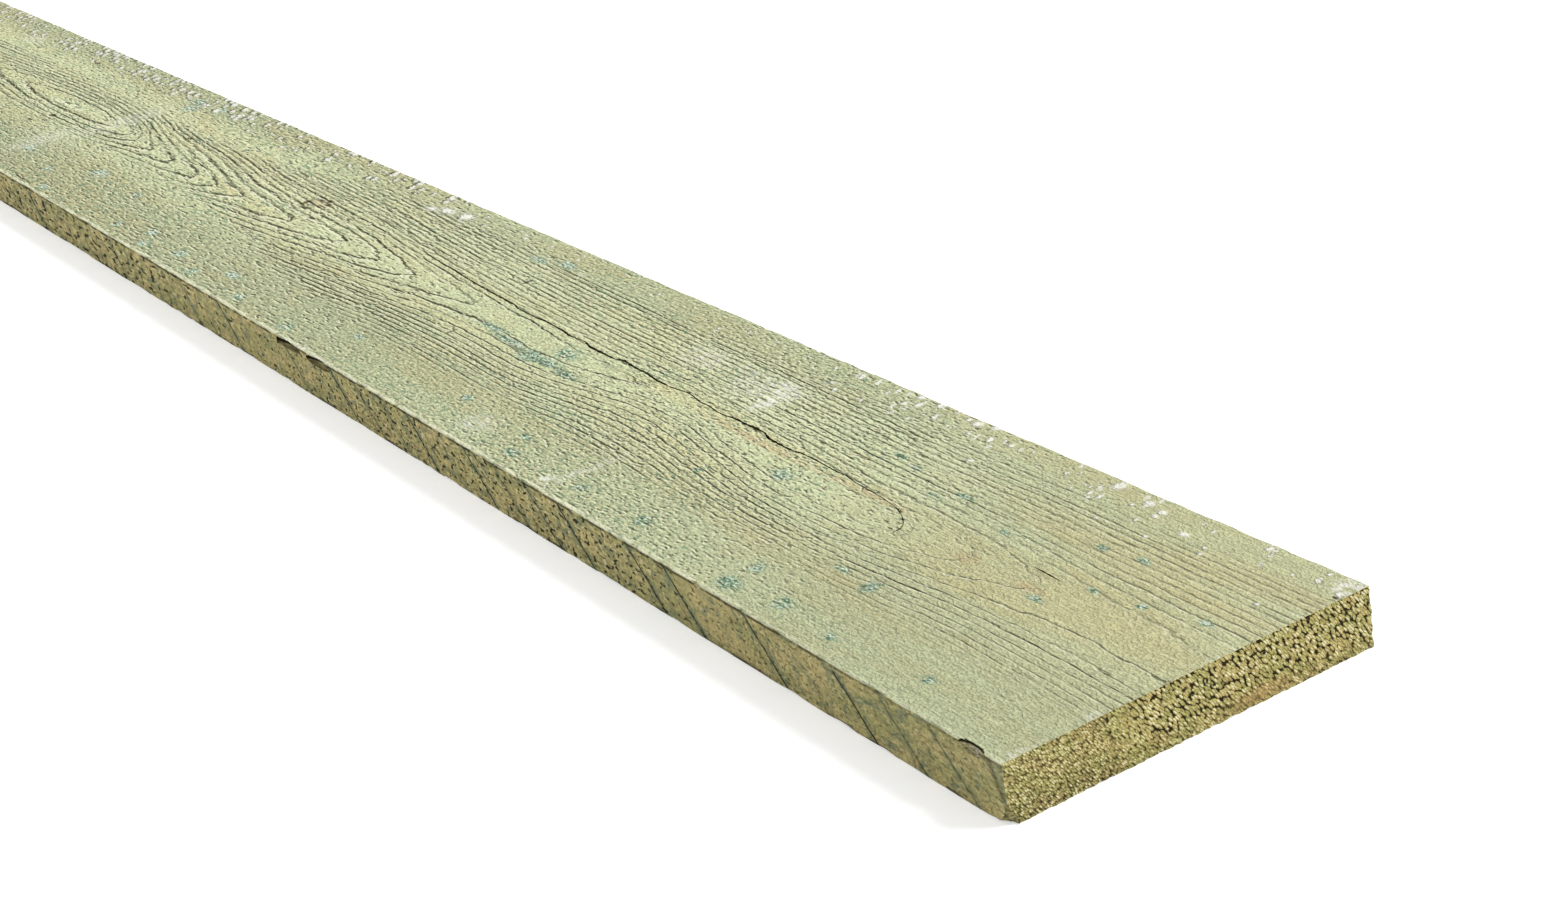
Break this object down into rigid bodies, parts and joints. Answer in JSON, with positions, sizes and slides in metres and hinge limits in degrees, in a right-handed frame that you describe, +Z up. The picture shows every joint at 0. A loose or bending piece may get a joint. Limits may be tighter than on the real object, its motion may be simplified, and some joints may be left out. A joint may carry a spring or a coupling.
{
  "type": "pressure-treated pine board",
  "caption": "Long flat rough-sawn pine board, green pressure treated, with a drying check, chipped arris and square-cut ends, for fencing, cladding and edging.",
  "frame": {"origin": "centre of the bottom wide face", "axes": "+X along the grain towards the near end, +Y across the wide face to the far edge, +Z up through the thickness"},
  "size_m": [1.8, 0.145, 0.022],
  "materials": {
    "treated_pine": "rough sawn, green treated"
  },
  "bodies": {
    "root": {"pine_board": "treated_pine"}
  },
  "joints": []
}
